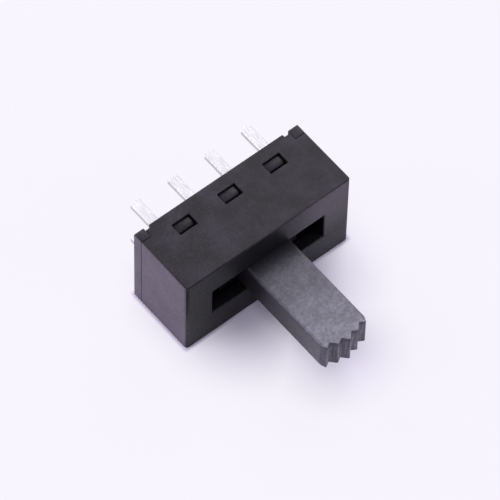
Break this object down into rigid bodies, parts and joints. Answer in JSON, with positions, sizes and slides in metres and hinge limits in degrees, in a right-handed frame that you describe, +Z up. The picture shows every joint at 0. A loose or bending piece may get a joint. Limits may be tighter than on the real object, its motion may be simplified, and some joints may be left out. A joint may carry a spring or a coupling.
{
  "type": "slide switch",
  "caption": "Miniature slide switch with a black snap-together body, a long ridged knob that slides between detent positions, and rows of flat solder terminals.",
  "frame": {"origin": "middle of the long side face of the body that the switch lies on", "axes": "+X along the knob's travel, +Y the way the terminals point, -Y the way the knob points, +Z up, from the lower row of terminals to the upper row"},
  "size_m": [0.011, 0.0133, 0.0058],
  "materials": {
    "cover_plastic": "fine moulded texture, black",
    "base_plastic": "moulded, black",
    "knob_plastic": "moulded, dark grey with pale scuffs",
    "tinned_brass": "stamped and tin plated",
    "contact_bronze": "rolled spring strip",
    "spring_steel": "drawn wire",
    "ball_steel": "ground and polished"
  },
  "bodies": {
    "body": {"housing": "cover_plastic", "base": "base_plastic", "upper_terminal_1": "tinned_brass", "upper_terminal_2": "tinned_brass", "upper_terminal_3": "tinned_brass", "upper_terminal_4": "tinned_brass", "lower_terminal_1": "tinned_brass", "lower_terminal_2": "tinned_brass", "lower_terminal_3": "tinned_brass", "lower_terminal_4": "tinned_brass"},
    "slider": {"slider": "knob_plastic", "upper_contact": "contact_bronze", "lower_contact": "contact_bronze", "detent_spring": "spring_steel", "detent_ball": "ball_steel"}
  },
  "joints": [
    {"name": "knob_slide", "type": "slide", "parent": "body", "child": "slider", "axis": [1, 0, 0], "range_m": [-0.00215, 0.00215]}
  ]
}
